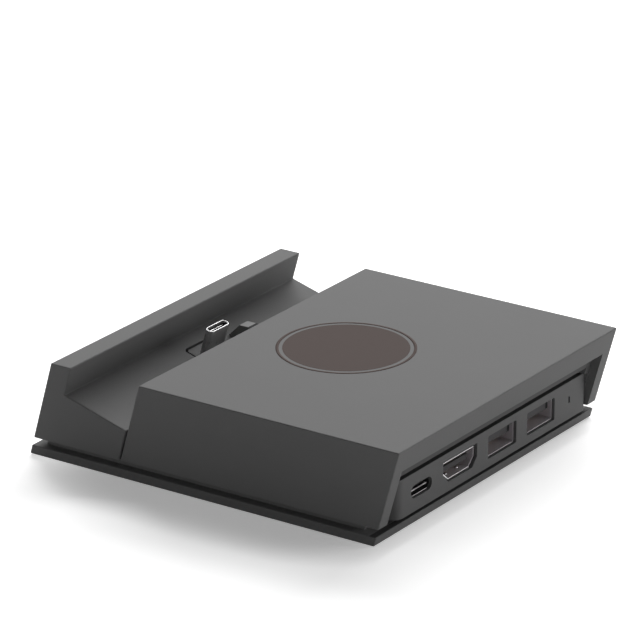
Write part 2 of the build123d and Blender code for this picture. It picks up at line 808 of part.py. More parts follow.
for name, port in ports.items():
    pieces[f"{name}_shell"] = port_shell(port)
    pieces[f"{name}_tongue"] = port_tongue(port)
    pieces[f"{name}_contacts"] = port_contacts(port)

os.makedirs("parts", exist_ok=True)
for name, piece in pieces.items():
    export_step(piece, f"parts/{name}.step")
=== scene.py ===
"""Finish and studio stage for the handheld console dock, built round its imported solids."""

from collections import namedtuple
import json
from math import cos, radians, sin, tau

import bmesh
import bpy
from bpy.props import FloatProperty, FloatVectorProperty, IntProperty, PointerProperty
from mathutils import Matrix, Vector
from mathutils.geometry import convex_hull_2d


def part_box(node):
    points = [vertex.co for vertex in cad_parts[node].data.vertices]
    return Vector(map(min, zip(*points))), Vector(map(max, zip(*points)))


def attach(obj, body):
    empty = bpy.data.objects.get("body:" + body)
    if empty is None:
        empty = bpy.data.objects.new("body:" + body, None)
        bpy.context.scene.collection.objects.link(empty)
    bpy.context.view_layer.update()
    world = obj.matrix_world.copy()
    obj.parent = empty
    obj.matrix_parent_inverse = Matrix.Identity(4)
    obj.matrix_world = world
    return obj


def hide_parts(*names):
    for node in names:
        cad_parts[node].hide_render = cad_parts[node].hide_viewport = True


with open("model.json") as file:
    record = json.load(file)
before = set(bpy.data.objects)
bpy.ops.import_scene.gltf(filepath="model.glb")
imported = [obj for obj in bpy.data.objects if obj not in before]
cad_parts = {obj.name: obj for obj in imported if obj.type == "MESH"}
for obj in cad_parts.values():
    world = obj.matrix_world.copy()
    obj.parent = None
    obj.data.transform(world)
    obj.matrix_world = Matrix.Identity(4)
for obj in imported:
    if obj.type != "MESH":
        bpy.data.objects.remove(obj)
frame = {"nodes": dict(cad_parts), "record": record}

bl_info = {
    "name": "Handheld console dock finish",
    "version": (1, 0, 0),
    "blender": (4, 5, 0),
    "location": "View3D > Sidebar > Dock",
    "description": "Finishes the dock's mouldings, plug, sockets and screws, and sets up its studio",
    "category": "Object",
}

BODY = "root"
MM = 0.001
PORTS = ("power_port", "video_port", "usb_port_near", "usb_port_far")
MOUNTS = {mount["name"]: mount for mount in frame["record"]["mounts"]}

# Directions: level faces, the near end, and the slot's own lean
LEVEL = Vector((0.0, 0.0, 1.0))
ENDWARD = Vector((1.0, 0.0, 0.0))
SLOT = MOUNTS["console_slot"]
UP = Vector(SLOT["axis"])
REARWARD = Vector((0.0, UP.z, -UP.y))

# Mouldings: spread of tone and of gloss, and how a flat patch is found
TONE = 0.05
GLOSS = 0.12
FACING = 0.7                 # least share of a face's normal along a patch's normal
NO_START = -1.0              # further forward than any piece, so that a patch has no start
EDGE_STRIP = 2 * MM          # width of the strip along an edge that counts as the edge

# Drawn metal: spread of tone and of gloss, its streaks, and which way they run
METAL_TONE = 0.12
METAL_GLOSS = 0.10
STREAK = 0.25 * MM           # width of a streak
STREAK_DEPTH = 0.002 * MM
BLOTCH = 0.2                 # scale of the blotches, as a share of that of the streaks
ALONG_X = (0.1, 1.0, 1.0)
ALONG_Y = (1.0, 0.1, 1.0)
ALONG_Z = (1.0, 1.0, 0.1)
SHORT_Y = (1.0, 0.2, 1.0)
SHORT_Z = (1.0, 1.0, 0.2)
TURNED = (0.3, 0.3, 1.0)

# Circuit boards: spread of tone and of gloss, and the copper tracks
BOARD_TONE = 0.1
BOARD_GLOSS = 0.1
TRACK_WIDE = 0.18 * MM       # width of a line, and the room along and across
TRACK_LONG = 4.6 * MM
TRACK_APART = 1.1 * MM

# Grown shapes: flats and rings, and the shares that shape a screw
HEAD_SIDES = 40
HEAD_RINGS = 5
SHANK_SIDES = 28
SHANK_RINGS = 72
DIMPLE_SIDES = 20
DIMPLE_RINGS = 12
SCREW_ROOT = 0.3             # share of a screw's head that its shank is rooted in
SCREW_POINT = 0.35           # share of a screw's radius that is left at its tip
WELD = 0.001 * MM            # distance within which two corners of a solid are one

# Socket edges: share of the inward direction from which an edge lies on that side
MOSTLY = 0.9
HALFWAY = 0.5
PARTLY = 0.3

# Painted shadow on the floor by the dock's ends: the share that is at its darkest, and the powers of its oval
SHADE_CORE = 0.03
SHADE_ACROSS = 2.0
SHADE_ALONG = 4.0

# A plane of a moulding, from start on along Y, that has another colour and spread of tone; the colours paint
# shade on the recess wall and in the slits by the core, and light on the rib
FlatPatch = namedtuple("FlatPatch", "normal level half colour tone start", defaults=(TONE, NO_START))


def length_prop(name, description, default):
    """A size in metres that a user can change."""
    return FloatProperty(
        name=name, description=description, default=default, min=0.0, precision=6, unit="LENGTH"
    )


def power_prop(name, description, default):
    """A lamp's power in watts."""
    return FloatProperty(name=name, description=description, default=default, min=0.0, unit="POWER")


def share_prop(name, description, default):
    """A share from nothing to all."""
    return FloatProperty(
        name=name, description=description, default=default, min=0.0, max=1.0, subtype="FACTOR"
    )


def angle_prop(name, description, degrees):
    """An angle, its default given in degrees."""
    return FloatProperty(
        name=name, description=description, default=radians(degrees), subtype="ANGLE"
    )


def colour_prop(name, description, default):
    """A linear colour."""
    return FloatVectorProperty(
        name=name, description=description, default=default, size=3, min=0.0, max=1.0, subtype="COLOR"
    )


def place_prop(name, description, default):
    """A point in the dock's frame, in metres."""
    return FloatVectorProperty(
        name=name, description=description, default=default, size=3, subtype="TRANSLATION"
    )


class DockFinish(bpy.types.PropertyGroup):
    """Colours and grain of the dock's materials."""

    body: colour_prop("Body", "Moulded grey of the cover and cradle", (0.180, 0.180, 0.180))
    plate: colour_prop("Plate", "Moulded grey of the base plate", (0.165, 0.165, 0.165))
    # Painted light: the rib's top and near side are painted paler than the body, for the light they catch
    rib: colour_prop("Rib", "Paler grey of the rib beside the plug", (0.270, 0.270, 0.270))
    # Painted shade: dark grey on the core's top and on the plate's top under the core, for the shade in the
    # slits there
    crevice_shade: colour_prop("Crevice", "Darker grey in the slits over and under the core", (0.060, 0.060, 0.060))
    # Painted shade: the wall over the sockets is darker grey, for the shade under the rear face's overhang
    recess: colour_prop("Recess", "Darker grey of the wall over the sockets", (0.100, 0.100, 0.100))
    core: colour_prop("Core", "Moulded grey of the core with the sockets", (0.157, 0.157, 0.157))
    ink: colour_prop("Ink", "Brown ink of the plain roundel on the cover", (0.059, 0.040, 0.035))
    rubber: colour_prop("Rubber", "Black rubber of the foot pads", (0.016, 0.016, 0.017))
    plug: colour_prop("Plug", "Dull plating of the plug", (0.460, 0.460, 0.465))
    # One nickel plating in three tones as painted light: palest for the plug's spring tips and a painted
    # glint on the video socket's near corner, bright for painted lit lips, springs and edge ends, dull for
    # painted shaded lips and the edge's middle
    polish: colour_prop("Polished nickel", "Plating of the video socket's near corner", (0.80, 0.79, 0.79))
    nickel: colour_prop("Nickel", "Bright plating in the video and power sockets", (0.38, 0.37, 0.375))
    dull: colour_prop("Dull nickel", "Dull plating of the other lips", (0.20, 0.19, 0.195))
    shell: colour_prop("Shell", "Dull metal inside the sockets", (0.50, 0.465, 0.49))
    tongue: colour_prop("Tongue", "Grey tongue of a video or data socket", (0.085, 0.083, 0.084))
    steel: colour_prop("Steel", "Steel of the screws", (0.42, 0.42, 0.43))
    gold: colour_prop("Gold", "Plating of the contacts", (0.72, 0.46, 0.16))
    resin: colour_prop("Resin", "Black resin of tongues and chips", (0.020, 0.020, 0.021))
    mask: colour_prop("Solder mask", "Green of the circuit boards", (0.012, 0.085, 0.035))
    trace: colour_prop("Trace", "Green over the copper tracks", (0.030, 0.160, 0.060))
    ferrite: colour_prop("Ferrite", "Grey of the power coils", (0.085, 0.085, 0.090))
    tin: colour_prop("Tin", "Aluminium of the capacitors and the crystal", (0.66, 0.66, 0.67))
    sheath: colour_prop("Sheath", "Black sheath of the plug lead", (0.018, 0.018, 0.019))
    lens: colour_prop("Lens", "Smoked plastic of the unlit status light", (0.012, 0.012, 0.013))
    grain: length_prop("Grain", "Width of one grain of the moulded texture", 0.22 * MM)
    grain_depth: length_prop("Grain depth", "Depth of the moulded texture", 0.012 * MM)
    cloud: length_prop("Cloud", "Width of the soft changes of tone in a moulding", 24 * MM)
    sheen: share_prop("Sheen", "Specular level of the moulded plastic", 0.07)
    slot_tone: share_prop("Slot tone", "Spread of tone of the coarse slot floor", 0.20)
    # Painted shadow: length of the black film on the rib's top, as a share of that top
    rib_dark: share_prop("Rib shadow", "Share of the rib's top that lies in the dark behind it", 0.46)
    recess_deep: length_prop("Recess depth", "Rear face to recess wall, square to both", 2.215 * MM)


class DockSockets(bpy.types.PropertyGroup):
    """Detail of the socket shells, whose places come from the frame."""

    lip: length_prop("Lip", "Radius of a shell's rolled lip", 0.15 * MM)
    corner: length_prop("Corner lip", "Radius of the lip of the video socket's near corner", 0.24 * MM)
    lip_sides: IntProperty(name="Lip sides", description="Flats round the lip", default=12, min=6)
    edge_thick: length_prop("Edge", "Height of the bare edge of the power tongue", 0.34 * MM)
    edge_wide: length_prop("Edge width", "Width of the bare edge", 6.7 * MM)
    # Painted glint: the bright ends of the bare edge are lighter nickel than its middle
    edge_end: length_prop("Edge end", "Width of each bright end of the bare edge", 1.5 * MM)
    spring_apart: length_prop("Spring spacing", "Middle to middle of the video socket's springs", 5.0 * MM)
    spring_deep: length_prop("Spring depth", "Shell front to the middle of a spring", 2.0 * MM)
    spring_round: length_prop("Spring radius", "Radius of a spring's dimple", 0.5 * MM)
    spring_sink: length_prop("Spring sink", "Shell floor to the middle of the dimple's ball", 0.18 * MM)


class DockPlug(bpy.types.PropertyGroup):
    """Detail of the plug, whose place comes from the frame."""

    tip: length_prop("Tip", "Radius of the bent tips of the contact springs", 0.10 * MM)
    tip_deep: length_prop("Tip depth", "Mouth of the plug to the tips", 0.95 * MM)
    tip_set: length_prop("Tip set", "Middle of the plug to the tips, towards the lip", 0.40 * MM)
    tip_row: length_prop("Tip row", "Length of the row of tips", 6.35 * MM)
    tip_sides: IntProperty(name="Tip sides", description="Flats round a tip", default=12, min=6)


class DockRoundel(bpy.types.PropertyGroup):
    """The plain printed disc and ring on the cover."""

    disc: length_prop("Disc", "Radius of the filled disc", 16.0 * MM)
    ring: length_prop("Ring", "Outer radius of the ring", 17.7 * MM)
    line: length_prop("Line", "Width of the ring's line", 0.78 * MM)
    film: length_prop("Film", "Thickness of the ink", 0.02 * MM)
    set_back: length_prop("Set back", "Cover's upper front edge to the middle of the print", 27.65 * MM)
    facets: IntProperty(name="Facets", description="Straight pieces in one turn", default=160, min=32)


class DockScrews(bpy.types.PropertyGroup):
    """Detail of the pan-head screws, whose places and lengths come from the frame."""

    dome: share_prop("Dome", "Share of the head's height that its edge falls back", 0.45)
    cross_long: share_prop("Cross length", "Driver recess across the head, as a share of it", 0.6)
    cross_wide: length_prop("Cross width", "Width of the driver recess", 0.6 * MM)
    cross_deep: share_prop("Cross depth", "Depth of the driver recess, as a share of the head", 0.6)
    pitch: length_prop("Pitch", "Thread's rise in one turn", 0.75 * MM)
    thread: length_prop("Thread", "Depth of the thread", 0.18 * MM)
    tip: length_prop("Tip", "Length of the tapered tip", 0.9 * MM)


class DockStage(bpy.types.PropertyGroup):
    """Camera, lamps and floor."""

    eye: place_prop("Eye", "Where the camera stands", (0.904172, 0.614094, 0.452393))
    azimuth: angle_prop("Azimuth", "Camera's turn about the dock", 124.247)
    elevation: angle_prop("Elevation", "Camera's height over the horizon", 21.041)
    lens: FloatProperty(name="Lens", description="Focal length", default=263.74, unit="CAMERA")
    lamp_away: length_prop("Lamp distance", "Middle of the dock to each softbox", 1.3)
    lamp_high: length_prop("Lamp height", "Height of each softbox", 0.6)
    main_turn: angle_prop("Main turn", "Main softbox's turn from +X", 202.5)
    main_rise: angle_prop("Main rise", "Main softbox's height over the horizon", 35.0)
    main_wide: length_prop("Main width", "Width of the main softbox", 1.4)
    main_watts: power_prop("Main power", "Power of the main softbox", 23.7)
    rear_turn: angle_prop("Rear turn", "Rear softbox's turn from +X", 128.0)
    rear_rise: angle_prop("Rear rise", "Rear softbox's height over the horizon", 13.0)
    rear_wide: length_prop("Rear width", "Width of the rear softbox", 0.7)
    rear_watts: power_prop("Rear power", "Power of the rear softbox", 4.9)
    near_turn: angle_prop("Near turn", "Turn from +X of the softbox by the camera", 67.5)
    near_rise: angle_prop("Near rise", "Its height over the horizon", 12.0)
    near_wide: length_prop("Near width", "Its width", 1.4)
    near_watts: power_prop("Near power", "Its power", 1.8)
    front_turn: angle_prop("Front turn", "Turn from +X of the softbox before the lip", 315.0)
    front_rise: angle_prop("Front rise", "Its height over the horizon", 12.0)
    front_wide: length_prop("Front width", "Its width", 0.6)
    front_watts: power_prop("Front power", "Its power", 2.3)
    ambient: FloatProperty(name="Ambient", description="Light from all round", default=0.0, min=0.0)
    lift: FloatProperty(name="Lift", description="White added to the open floor", default=0.62, min=0.0)
    # Shade, side shade and rear shade paint a shadow into the floor's white by place, added to the cast
    # shadows
    shade: FloatProperty(name="Shade", description="White added right by the dock", default=0.29, min=0.0)
    shade_side: length_prop("Side shade", "How far the shade by the dock's ends reaches", 23 * MM)
    shade_long: length_prop("Side shade length", "Half the length of that shade", 55 * MM)
    shade_back: length_prop("Side shade set back", "How far back the middle of that shade lies", 3 * MM)
    shade_rear: length_prop("Rear shade", "How far the shade along the dock's rear reaches", 5 * MM)
    floor: colour_prop("Floor", "Pale floor as the camera sees it", (0.95, 0.95, 0.95))
    bounce: colour_prop("Bounce", "Floor as it throws light back", (0.80, 0.80, 0.80))
    floor_size: length_prop("Floor size", "Side of the floor", 6.0)


def add_node(tree, kind, inputs, **settings):
    """A node with its settings made, and its inputs set to a value or joined to a socket."""
    made = tree.nodes.new(kind)
    for name, value in settings.items():
        setattr(made, name, value)
    for key, value in inputs.items():
        if isinstance(value, bpy.types.NodeSocket):
            tree.links.new(value, made.inputs[key])
        else:
            made.inputs[key].default_value = value
    return made


def reckon(tree, operation, *values):
    """The result of one step of arithmetic on sockets or numbers."""
    return add_node(tree, "ShaderNodeMath", dict(enumerate(values)), operation=operation).outputs[0]


def mixed_colour(tree, factor, first, second):
    """The first colour where the factor is nought, the second where it is one."""
    mix = {"Factor": factor, 6: first, 7: second}
    return add_node(tree, "ShaderNodeMix", mix, data_type="RGBA").outputs[2]


def new_tree(name, kind, inputs, outputs):
    """A node group with named sockets, and its two end nodes."""
    tree = bpy.data.node_groups.new(name, kind)
    for label, socket in inputs.items():
        tree.interface.new_socket(label, in_out="INPUT", socket_type="NodeSocket" + socket)
    for label, socket in outputs.items():
        tree.interface.new_socket(label, in_out="OUTPUT", socket_type="NodeSocket" + socket)
    return tree, tree.nodes.new("NodeGroupInput").outputs, tree.nodes.new("NodeGroupOutput").inputs


def moulded_grain():
    """Shader group: the fine etched grain and soft clouds of tone of a moulded surface."""
    inputs = {"Vector": "Vector", "Colour": "Color", "Roughness": "Float", "Grain": "Float"}
    inputs.update({"Cloud": "Float", "Tone Spread": "Float", "Gloss Spread": "Float"})
    outputs = {"Colour": "Color", "Roughness": "Float", "Height": "Float"}
    tree, given, made = new_tree("Moulded grain", "ShaderNodeTree", inputs, outputs)
    fine_scale = reckon(tree, "DIVIDE", 1.0, given["Grain"])
    cloud_scale = reckon(tree, "DIVIDE", 1.0, given["Cloud"])
    fine_noise = {"Vector": given["Vector"], "Scale": fine_scale, "Detail": 1.0, "Roughness": 0.6}
    fine = add_node(tree, "ShaderNodeTexNoise", fine_noise).outputs[0]
    cloud_noise = {"Vector": given["Vector"], "Scale": cloud_scale, "Detail": 3.0, "Roughness": 0.5}
    cloud = add_node(tree, "ShaderNodeTexNoise", cloud_noise).outputs[0]
    mixed = reckon(tree, "SUBTRACT", reckon(tree, "ADD", fine, cloud), 1.0)
    tone = reckon(tree, "MULTIPLY_ADD", mixed, given["Tone Spread"], 1.0)
    scaled = {0: given["Colour"], "Scale": tone}
    colour = add_node(tree, "ShaderNodeVectorMath", scaled, operation="SCALE").outputs[0]
    swing = reckon(tree, "SUBTRACT", fine, 0.5)
    gloss = reckon(tree, "MULTIPLY_ADD", swing, given["Gloss Spread"], given["Roughness"])
    tree.links.new(colour, made["Colour"])
    tree.links.new(gloss, made["Roughness"])
    tree.links.new(fine, made["Height"])
    return tree


def flat_patch():
    """Shader group: a mask of the faces in one plane that face along its normal, from a start on along Y."""
    inputs = {"Vector": "Vector", "Facing": "Vector", "Normal": "Vector"}
    inputs.update({"Level": "Float", "Half": "Float", "Start": "Float"})
    tree, given, made = new_tree("Flat patch", "ShaderNodeTree", inputs, {"Mask": "Float"})
    along = {0: given["Vector"], 1: given["Normal"]}
    height = add_node(tree, "ShaderNodeVectorMath", along, operation="DOT_PRODUCT").outputs["Value"]
    away = reckon(tree, "ABSOLUTE", reckon(tree, "SUBTRACT", height, given["Level"]))
    turned = {0: given["Facing"], 1: given["Normal"]}
    square = add_node(tree, "ShaderNodeVectorMath", turned, operation="DOT_PRODUCT").outputs["Value"]
    near = reckon(tree, "LESS_THAN", away, given["Half"])
    facing = reckon(tree, "MULTIPLY", near, reckon(tree, "GREATER_THAN", square, FACING))
    back = add_node(tree, "ShaderNodeSeparateXYZ", {0: given["Vector"]}).outputs[1]
    mask = reckon(tree, "MULTIPLY", facing, reckon(tree, "GREATER_THAN", back, given["Start"]))
    tree.links.new(mask, made["Mask"])
    return tree


def drawn_metal():
    """Shader group: streaks along the drawing direction of a metal, and its blotchy plating."""
    inputs = {"Vector": "Vector", "Colour": "Color", "Roughness": "Float", "Streak": "Float"}
    inputs.update({"Stretch": "Vector", "Tone Spread": "Float", "Gloss Spread": "Float"})
    outputs = {"Colour": "Color", "Roughness": "Float", "Height": "Float"}
    tree, given, made = new_tree("Drawn metal", "ShaderNodeTree", inputs, outputs)
    long = {0: given["Vector"], 1: given["Stretch"]}
    stretched = add_node(tree, "ShaderNodeVectorMath", long, operation="MULTIPLY").outputs[0]
    scale = reckon(tree, "DIVIDE", 1.0, given["Streak"])
    streak_noise = {"Vector": stretched, "Scale": scale, "Detail": 2.0}
    streak = add_node(tree, "ShaderNodeTexNoise", streak_noise).outputs[0]
    blotch_noise = {"Vector": given["Vector"], "Scale": reckon(tree, "MULTIPLY", scale, BLOTCH)}
    blotch = add_node(tree, "ShaderNodeTexNoise", blotch_noise).outputs[0]
    mixed = reckon(tree, "SUBTRACT", reckon(tree, "ADD", streak, blotch), 1.0)
    tone = reckon(tree, "MULTIPLY_ADD", mixed, given["Tone Spread"], 1.0)
    scaled = {0: given["Colour"], "Scale": tone}
    colour = add_node(tree, "ShaderNodeVectorMath", scaled, operation="SCALE").outputs[0]
    gloss = reckon(tree, "MULTIPLY_ADD", mixed, given["Gloss Spread"], given["Roughness"])
    tree.links.new(colour, made["Colour"])
    tree.links.new(gloss, made["Roughness"])
    tree.links.new(streak, made["Height"])
    return tree


def shared_group(name, builder):
    """The node group of that name, built the first time it is asked for."""
    return bpy.data.node_groups.get(name) or builder()


def bare_material(name):
    """A new material with its shader and a reading of the piece's own coordinates."""
    material = bpy.data.materials.new(name)
    material.use_nodes = True
    tree = material.node_tree
    tree.nodes.clear()
    shader = tree.nodes.new("ShaderNodeBsdfPrincipled")
    end = tree.nodes.new("ShaderNodeOutputMaterial")
    tree.links.new(shader.outputs[0], end.inputs["Surface"])
    coords = tree.nodes.new("ShaderNodeTexCoord").outputs["Object"]
    return material, tree, shader, coords


def place_group(tree, group, values):
    """A shared group placed in a material, with its own values."""
    return add_node(tree, "ShaderNodeGroup", values, node_tree=group)


def dress(tree, shader, group, values, depth):
    """Joins a shared group's colour, roughness and height to a material's shader."""
    placed = place_group(tree, group, values)
    relief = {"Height": placed.outputs["Height"], "Strength": 1.0, "Distance": depth}
    bump = add_node(tree, "ShaderNodeBump", relief)
    tree.links.new(placed.outputs["Colour"], shader.inputs["Base Color"])
    tree.links.new(placed.outputs["Roughness"], shader.inputs["Roughness"])
    tree.links.new(bump.outputs["Normal"], shader.inputs["Normal"])


def moulded_plastic(name, colour, roughness, sheen, tone=TONE, coarse=1.0, patches=()):
    """Moulded plastic or rubber with an etched grain, and flat patches of another tone and colour, where the
    colour is painted shade and painted light.
    """
    finish = bpy.context.scene.dock_finish
    material, tree, shader, coords = bare_material(name)
    shader.inputs["Specular IOR Level"].default_value = sheen
    values = {"Vector": coords, "Colour": (*colour, 1.0), "Roughness": roughness}
    values.update({"Grain": finish.grain * coarse, "Cloud": finish.cloud})
    values.update({"Tone Spread": tone, "Gloss Spread": GLOSS})
    for patch in patches:
        plane = {"Vector": coords, "Facing": coords.node.outputs["Normal"], "Normal": patch.normal}
        plane.update({"Level": patch.level, "Half": patch.half, "Start": patch.start})
        mask = place_group(tree, shared_group("Flat patch", flat_patch), plane).outputs["Mask"]
        values["Colour"] = mixed_colour(tree, mask, values["Colour"], (*patch.colour, 1.0))
        values["Tone Spread"] = reckon(tree, "MULTIPLY_ADD", mask, patch.tone - tone, values["Tone Spread"])
    dress(tree, shader, shared_group("Moulded grain", moulded_grain), values, finish.grain_depth * coarse)
    return material


def plated_metal(name, colour, roughness, stretch, tone=METAL_TONE, metal=1.0):
    """Drawn, turned or plated metal, bright or dulled."""
    material, tree, shader, coords = bare_material(name)
    shader.inputs["Metallic"].default_value = metal
    values = {"Vector": coords, "Colour": (*colour, 1.0), "Roughness": roughness}
    values.update({"Streak": STREAK, "Stretch": stretch})
    values.update({"Tone Spread": tone, "Gloss Spread": METAL_GLOSS})
    dress(tree, shader, shared_group("Drawn metal", drawn_metal), values, STREAK_DEPTH)
    return material


def circuit_board(name, mask, trace):
    """Green solder mask over faint copper tracks."""
    material, tree, shader, coords = bare_material(name)
    pattern = {"Vector": coords, "Scale": 1.0, "Mortar Size": TRACK_WIDE, "Mortar Smooth": 0.2}
    pattern.update({"Brick Width": TRACK_LONG, "Row Height": TRACK_APART})
    pattern.update({"Color1": (*mask, 1.0), "Color2": (*mask, 1.0), "Mortar": (*trace, 1.0)})
    tracks = add_node(tree, "ShaderNodeTexBrick", pattern)
    finish = bpy.context.scene.dock_finish
    values = {"Vector": coords, "Colour": tracks.outputs["Color"], "Roughness": 0.35}
    values.update({"Grain": finish.grain, "Cloud": finish.cloud})
    values.update({"Tone Spread": BOARD_TONE, "Gloss Spread": BOARD_GLOSS})
    dress(tree, shader, shared_group("Moulded grain", moulded_grain), values, finish.grain_depth)
    return material


def coat(material, *names):
    """Gives a material to the solids of those names."""
    for name in names:
        solid = frame["nodes"][name]
        if not solid.material_slots:
            solid.data.materials.append(material)
        for slot in solid.material_slots:
            slot.material = material


def grown(name, spots, tree, values, lines=()):
    """A piece that a node tree grows on a few points or lines, made a plain mesh and put on the dock."""
    seed = bpy.data.meshes.new(name + "_spots")
    seed.from_pydata(spots, lines, [])
    piece = bpy.data.objects.new(name, seed)
    bpy.context.scene.collection.objects.link(piece)
    modifier = piece.modifiers.new("Growth", "NODES")
    modifier.node_group = tree
    for item in tree.interface.items_tree:
        if item.in_out == "INPUT" and item.name in values:
            modifier[item.identifier] = values[item.name]
    graph = bpy.context.evaluated_depsgraph_get()
    mesh = bpy.data.meshes.new_from_object(piece.evaluated_get(graph), depsgraph=graph)
    piece.modifiers.remove(modifier)
    piece.data = mesh
    bpy.data.meshes.remove(seed)
    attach(piece, BODY)
    return piece


def end_tree(tree, shape, material, result):
    """Ends a tree: the shape made real and given its material."""
    real = add_node(tree, "GeometryNodeRealizeInstances", {"Geometry": shape})
    coated = add_node(tree, "GeometryNodeSetMaterial", {0: real.outputs[0], "Material": material})
    tree.links.new(coated.outputs[0], result)


def end_on_spots(tree, spots, shape, material, result):
    """Ends a tree with the shape on every spot."""
    placed = add_node(tree, "GeometryNodeInstanceOnPoints", {"Points": spots, "Instance": shape})
    end_tree(tree, placed.outputs[0], material, result)


def roundel_tree():
    """Geometry nodes: a filled disc and a ring round it, both a thin film of ink."""
    inputs = {"Spots": "Geometry", "Disc": "Float", "Ring": "Float", "Line": "Float", "Film": "Float"}
    inputs.update({"Facets": "Int", "Ink": "Material"})
    tree, given, made = new_tree("Printed roundel", "GeometryNodeTree", inputs, {"Print": "Geometry"})
    disc_size = {"Vertices": given["Facets"], "Radius": given["Disc"], "Depth": given["Film"]}
    disc = add_node(tree, "GeometryNodeMeshCylinder", disc_size)
    half_line = reckon(tree, "MULTIPLY", given["Line"], 0.5)
    middle = reckon(tree, "SUBTRACT", given["Ring"], half_line)
    path_size = {"Resolution": given["Facets"], "Radius": middle}
    path = add_node(tree, "GeometryNodeCurvePrimitiveCircle", path_size, mode="RADIUS")
    strip_size = {"Width": given["Line"], "Height": given["Film"]}
    strip = add_node(tree, "GeometryNodeCurvePrimitiveQuadrilateral", strip_size)
    sweep = {"Curve": path.outputs[0], "Profile Curve": strip.outputs[0]}
    ring = add_node(tree, "GeometryNodeCurveToMesh", sweep)
    both = tree.nodes.new("GeometryNodeJoinGeometry")
    tree.links.new(disc.outputs[0], both.inputs[0])
    tree.links.new(ring.outputs[0], both.inputs[0])
    end_on_spots(tree, given["Spots"], both.outputs[0], given["Ink"], made["Print"])
    return tree


def lip_tree():
    """Geometry nodes: a round lip along every line."""
    inputs = {"Lines": "Geometry", "Radius": "Float", "Sides": "Int", "Metal": "Material"}
    tree, given, made = new_tree("Rolled lips", "GeometryNodeTree", inputs, {"Lips": "Geometry"})
    path = add_node(tree, "GeometryNodeMeshToCurve", {0: given["Lines"]}).outputs[0]
    size = {"Resolution": given["Sides"], "Radius": given["Radius"]}
    profile = add_node(tree, "GeometryNodeCurvePrimitiveCircle", size, mode="RADIUS").outputs[0]
    sweep = {"Curve": path, "Profile Curve": profile, "Fill Caps": True}
    tube = add_node(tree, "GeometryNodeCurveToMesh", sweep).outputs[0]
    smooth = add_node(tree, "GeometryNodeSetShadeSmooth", {"Geometry": tube}).outputs[0]
    end_tree(tree, smooth, given["Metal"], made["Lips"])
    return tree


def spring_tree():
    """Geometry nodes: the pressed dimple of a spring on every spot."""
    inputs = {"Spots": "Geometry", "Radius": "Float", "Metal": "Material"}
    tree, given, made = new_tree("Spring dimples", "GeometryNodeTree", inputs, {"Springs": "Geometry"})
    size = {"Segments": DIMPLE_SIDES, "Rings": DIMPLE_RINGS, "Radius": given["Radius"]}
    ball = add_node(tree, "GeometryNodeMeshUVSphere", size).outputs[0]
    smooth = add_node(tree, "GeometryNodeSetShadeSmooth", {"Geometry": ball}).outputs[0]
    end_on_spots(tree, given["Spots"], smooth, given["Metal"], made["Springs"])
    return tree


def bar_tree():
    """Geometry nodes: a plain bar on every spot."""
    inputs = {"Spots": "Geometry", "Size": "Vector", "Metal": "Material"}
    tree, given, made = new_tree("Bars", "GeometryNodeTree", inputs, {"Bars": "Geometry"})
    bar = add_node(tree, "GeometryNodeMeshCube", {"Size": given["Size"]}).outputs[0]
    end_on_spots(tree, given["Spots"], bar, given["Metal"], made["Bars"])
    return tree


def moved(tree, shape, x=0.0, y=0.0, z=0.0):
    """A shape shifted by sockets or numbers."""
    shift = add_node(tree, "ShaderNodeCombineXYZ", {0: x, 1: y, 2: z})
    inputs = {"Geometry": shape, "Translation": shift.outputs[0]}
    return add_node(tree, "GeometryNodeTransform", inputs).outputs[0]


def screw_head(tree, given):
    """The domed head, with its seat at the origin and its face pointing down."""
    size = {"Vertices": HEAD_SIDES, "Side Segments": 1, "Fill Segments": HEAD_RINGS}
    size.update({"Radius": given["Head Radius"], "Depth": given["Head Height"]})
    disc = add_node(tree, "GeometryNodeMeshCylinder", size).outputs[0]
    place = tree.nodes.new("GeometryNodeInputPosition").outputs[0]
    axes = add_node(tree, "ShaderNodeSeparateXYZ", {0: place}).outputs
    flat = add_node(tree, "ShaderNodeCombineXYZ", {0: axes[0], 1: axes[1]}).outputs[0]
    reach = add_node(tree, "ShaderNodeVectorMath", {0: flat}, operation="LENGTH").outputs["Value"]
    share = reckon(tree, "DIVIDE", reach, given["Head Radius"])
    fall = reckon(tree, "MULTIPLY", reckon(tree, "POWER", share, 2.0), given["Dome"])
    rise = reckon(tree, "MULTIPLY", fall, given["Head Height"])
    lift = add_node(tree, "ShaderNodeCombineXYZ", {2: rise}).outputs[0]
    lower = reckon(tree, "LESS_THAN", axes[2], 0.0)
    domed = {"Geometry": disc, "Selection": lower, "Offset": lift}
    head = add_node(tree, "GeometryNodeSetPosition", domed).outputs[0]
    return moved(tree, head, z=reckon(tree, "MULTIPLY", given["Head Height"], -0.5))


